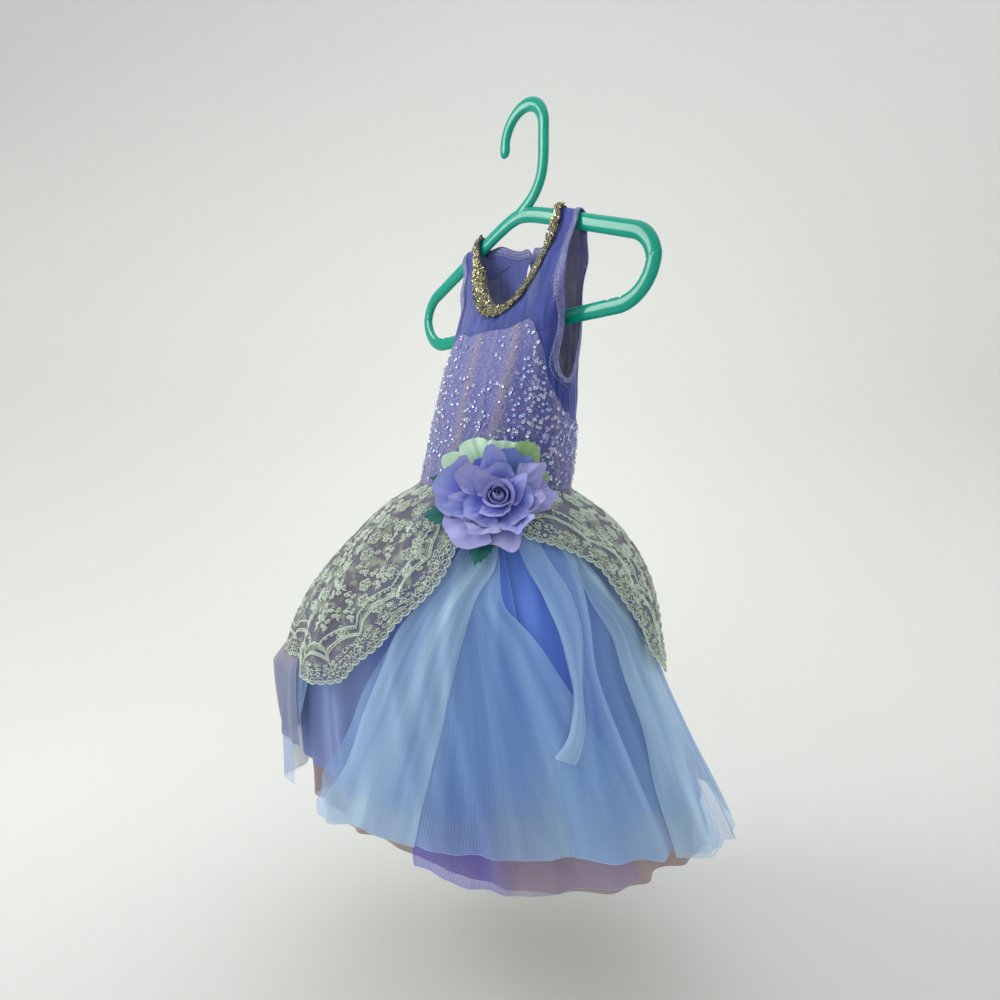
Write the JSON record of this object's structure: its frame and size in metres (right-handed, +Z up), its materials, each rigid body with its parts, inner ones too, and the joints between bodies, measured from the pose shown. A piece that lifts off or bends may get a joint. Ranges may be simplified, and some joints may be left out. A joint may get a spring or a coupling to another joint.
{
  "type": "child's dance costume on a plastic hanger",
  "caption": "Sleeveless child's dance costume with a mesh yoke, sequin bodice, lace hips, long tulle skirt and fabric rose, hanging on a plastic hanger.",
  "frame": {"origin": "inner top of the hanger's hook, where a rail or a hand holds it", "axes": "+X along the hanger to the wearer's left, -Y the front of the costume, +Z up"},
  "size_m": [0.3809, 0.3528, 0.6733],
  "materials": {
    "hanger_plastic": "teal, smooth and glossy",
    "mesh": "royal blue power mesh, see-through",
    "sequin": "periwinkle net with small clear and blue sequins",
    "beads": "bronze and silver bugle beads on a band",
    "elastic": "lavender elastic with a silvery glitter",
    "sky_tulle": "sky blue tulle, see-through",
    "royal_tulle": "royal blue tulle",
    "violet_tulle": "blue-violet tulle",
    "nude_tulle": "taupe tulle",
    "lace": "corded lace, mint on a taupe net",
    "rose_silk": "blue-lavender satin",
    "green_ribbon": "pale mint green satin",
    "leaf_fabric": "dark teal satin",
    "button_plastic": "small dark blue button"
  },
  "bodies": {
    "root": {"hanger": "hanger_plastic", "yoke_front": "mesh", "side_left": "mesh", "side_right": "mesh", "yoke_back_left": "mesh", "yoke_back_right": "mesh", "neck_trim": "beads", "binding_left": "elastic", "binding_right": "elastic", "neckband_back_left": "elastic", "neckband_back_right": "elastic", "bodice_front": "sequin", "bodice_back": "sequin", "skirt_nude": "nude_tulle", "skirt_blue": "royal_tulle", "skirt_violet": "violet_tulle", "skirt_sky_front": "sky_tulle", "skirt_sky_left": "sky_tulle", "skirt_sky_right": "sky_tulle", "hip_tier": "violet_tulle", "lace_right": "lace", "lace_left": "lace", "closure_button": "button_plastic", "closure_loop": "elastic", "flower_pad": "leaf_fabric", "green_1": "green_ribbon", "green_2": "green_ribbon", "green_3": "green_ribbon", "green_4": "green_ribbon", "green_5": "green_ribbon", "leaf_1": "leaf_fabric", "leaf_2": "leaf_fabric", "leaf_3": "leaf_fabric", "rose_outer_1": "rose_silk", "rose_outer_2": "rose_silk", "rose_outer_3": "rose_silk", "rose_outer_4": "rose_silk", "rose_outer_5": "rose_silk", "rose_outer_6": "rose_silk", "rose_middle_1": "rose_silk", "rose_middle_2": "rose_silk", "rose_middle_3": "rose_silk", "rose_bud": "rose_silk"}
  },
  "joints": []
}
